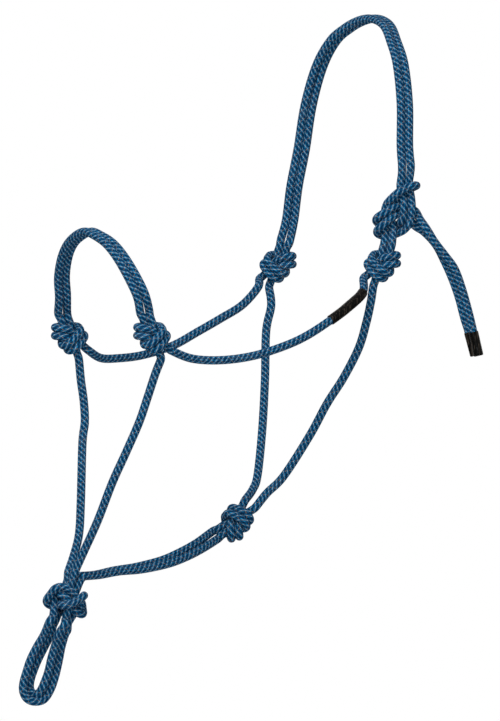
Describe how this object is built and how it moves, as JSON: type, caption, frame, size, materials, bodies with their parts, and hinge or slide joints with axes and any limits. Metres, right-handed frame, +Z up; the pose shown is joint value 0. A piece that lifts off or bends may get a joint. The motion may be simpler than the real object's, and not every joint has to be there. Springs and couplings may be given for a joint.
{
  "type": "head halter",
  "caption": "Rope halter for a horse: doubled noseband and crown, knotted cheeks, throat and chin ropes, a tied loop for the lead and a plain black sleeve.",
  "frame": {"origin": "the seat on the poll, under the middle of the crown, on the halter's middle plane", "axes": "+Z up, -Y towards the nose, +X the horse's left side, where the halter is tied"},
  "size_m": [0.252, 0.4358, 0.6704],
  "materials": {
    "rope": "braided",
    "heat_shrink": "satin"
  },
  "bodies": {
    "cheeks": {"nose_knot_near": "rope", "nose_knot_far": "rope", "cheek_knot_near": "rope", "cheek_knot_far": "rope", "cheek_rope_near": "rope", "cheek_rope_far": "rope", "label_sleeve": "heat_shrink"},
    "noseband": {"noseband_rope_front": "rope", "noseband_rope_rear": "rope"},
    "crown": {"crown_rope_front": "rope", "crown_rope_rear": "rope", "tie_loop": "rope", "tie_knot_front": "rope", "tie_knot_rear": "rope"},
    "front_tail": {"tail_front": "rope", "tail_tip_front": "heat_shrink"},
    "rear_tail": {"tail_rear": "rope", "tail_tip_rear": "heat_shrink"},
    "chin": {"chin_rope_near": "rope", "chin_rope_far": "rope", "fiador_knot": "rope"},
    "throat": {"throat_rope_near": "rope", "throat_rope_far": "rope", "throat_knot": "rope"},
    "jaw": {"jaw_rope_near": "rope", "jaw_rope_far": "rope"},
    "lead_loop": {"lead_loop_outer": "rope", "lead_loop_inner": "rope"}
  },
  "joints": [
    {"name": "noseband_swing", "type": "hinge", "parent": "cheeks", "child": "noseband", "pos_m": [0, -0.301, -0.305], "axis": [1, 0, 0], "range_deg": [-40, 60]},
    {"name": "crown_swing", "type": "hinge", "parent": "cheeks", "child": "crown", "pos_m": [0, -0.043, -0.235], "axis": [1, 0, 0], "range_deg": [-30, 30]},
    {"name": "front_tail_swing", "type": "hinge", "parent": "crown", "child": "front_tail", "pos_m": [0.09882, -0.00987, -0.18494], "axis": [-0.5736, -0.8191, 0], "range_deg": [0, 45]},
    {"name": "rear_tail_swing", "type": "hinge", "parent": "crown", "child": "rear_tail", "pos_m": [0.09749, -0.00855, -0.19986], "axis": [-0.5736, -0.8191, 0], "range_deg": [-45, 0]},
    {"name": "chin_swing", "type": "hinge", "parent": "cheeks", "child": "chin", "pos_m": [0, -0.301, -0.305], "axis": [1, 0, 0], "range_deg": [-2, 5]},
    {"name": "throat_swing", "type": "hinge", "parent": "cheeks", "child": "throat", "pos_m": [0, -0.043, -0.235], "axis": [1, 0, 0], "range_deg": [-3, 6]},
    {"name": "jaw_swing", "type": "hinge", "parent": "chin", "child": "jaw", "pos_m": [0, -0.353, -0.561], "axis": [1, 0, 0], "range_deg": [-7, 3]},
    {"name": "lead_loop_swing", "type": "hinge", "parent": "chin", "child": "lead_loop", "pos_m": [0, -0.353, -0.561], "axis": [1, 0, 0], "range_deg": [-40, 40]}
  ],
  "couplings": [
    {"joint": "throat_swing", "follows": "chin_swing", "ratio": 1.1},
    {"joint": "jaw_swing", "follows": "chin_swing", "ratio": -1.345}
  ]
}
